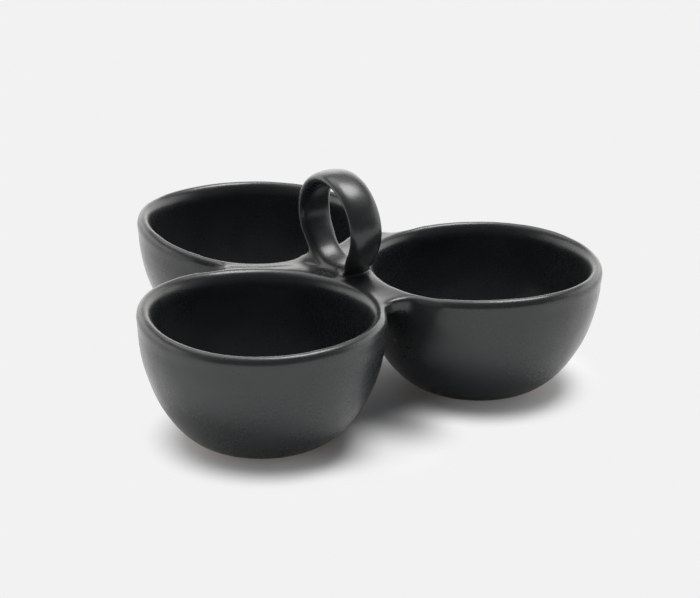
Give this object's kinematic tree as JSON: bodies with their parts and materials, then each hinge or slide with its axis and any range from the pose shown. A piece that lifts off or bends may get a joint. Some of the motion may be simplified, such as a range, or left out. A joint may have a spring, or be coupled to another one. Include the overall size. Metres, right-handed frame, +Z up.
{
  "type": "divided serving bowl",
  "caption": "Stoneware serving dish of joined round bowls around a dished saddle that carries an upright loop handle, with bare clay foot rings under the bowls.",
  "frame": {"origin": "middle of the whole dish's outline, on the surface that its foot rings stand on", "axes": "+X runs from the left bowl to the right bowl, the longest extent; +Y points to the rear bowl; +Z is up, the shortest extent"},
  "size_m": [0.2516, 0.2398, 0.1164],
  "materials": {
    "satin_black_glaze": "satin black stoneware glaze with soft reflections and faint speckle",
    "bare_clay": "unglazed orange-brown fired clay, matt and slightly gritty"
  },
  "bodies": {
    "root": {"rear_bowl": "satin_black_glaze", "left_bowl": "satin_black_glaze", "right_bowl": "satin_black_glaze", "rear_foot": "bare_clay", "left_foot": "bare_clay", "right_foot": "bare_clay", "saddle": "satin_black_glaze", "loop_handle": "satin_black_glaze"}
  },
  "joints": []
}
